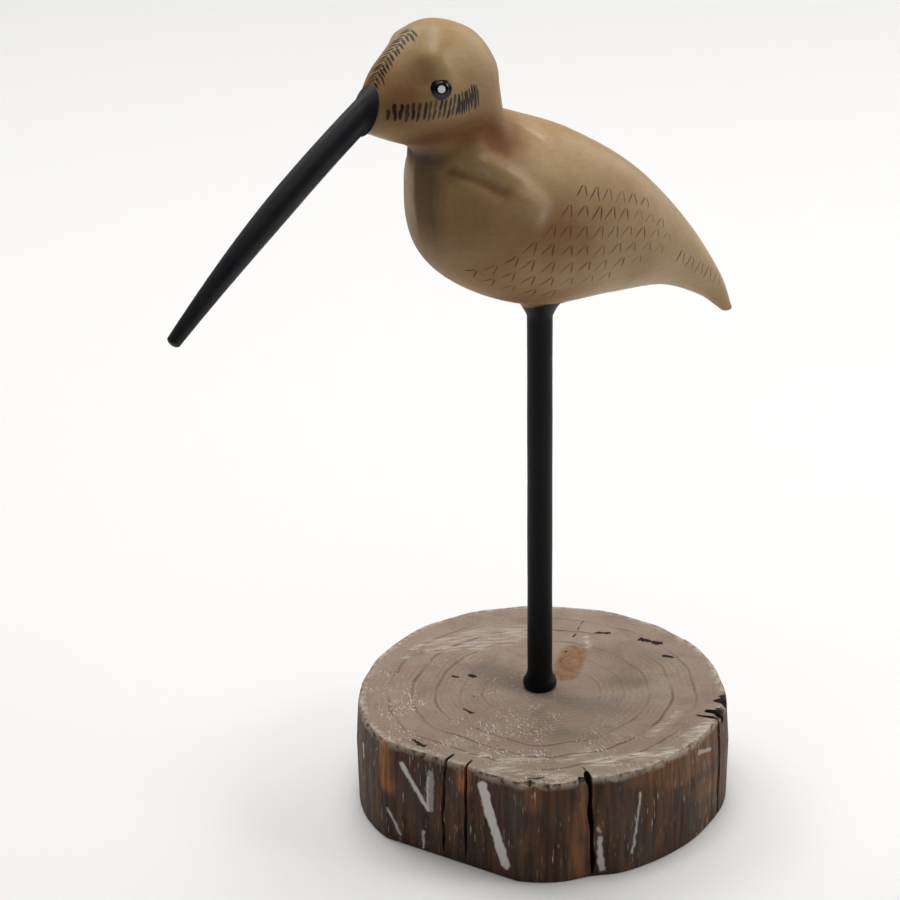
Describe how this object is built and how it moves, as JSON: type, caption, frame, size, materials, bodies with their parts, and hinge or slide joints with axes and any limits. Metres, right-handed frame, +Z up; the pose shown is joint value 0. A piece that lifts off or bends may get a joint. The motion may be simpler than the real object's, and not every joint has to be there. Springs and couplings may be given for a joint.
{
  "type": "carved shorebird figurine",
  "caption": "Carved wooden shorebird with a long drooping bill, on a slim painted dowel that stands in a thick slice of log.",
  "frame": {"origin": "on the underside of the log slice, straight below the axis of the dowel", "axes": "+Z up along the dowel; the bird's plane of symmetry is the XZ plane and its bill points towards -X"},
  "size_m": [0.2369, 0.1404, 0.3165],
  "materials": {
    "log_wood": "weathered sawn log slice, whitewashed top and dark stained side",
    "stained_wood": "smooth carved wood with a tan and brown stain and satin varnish",
    "black_paint": "wood painted in semi-matt black",
    "eye_bead": "glossy black bead with a white dot"
  },
  "bodies": {
    "root": {"base": "log_wood", "rod": "black_paint", "body": "stained_wood", "bill": "black_paint", "eye_left": "eye_bead", "eye_right": "eye_bead"}
  },
  "joints": []
}
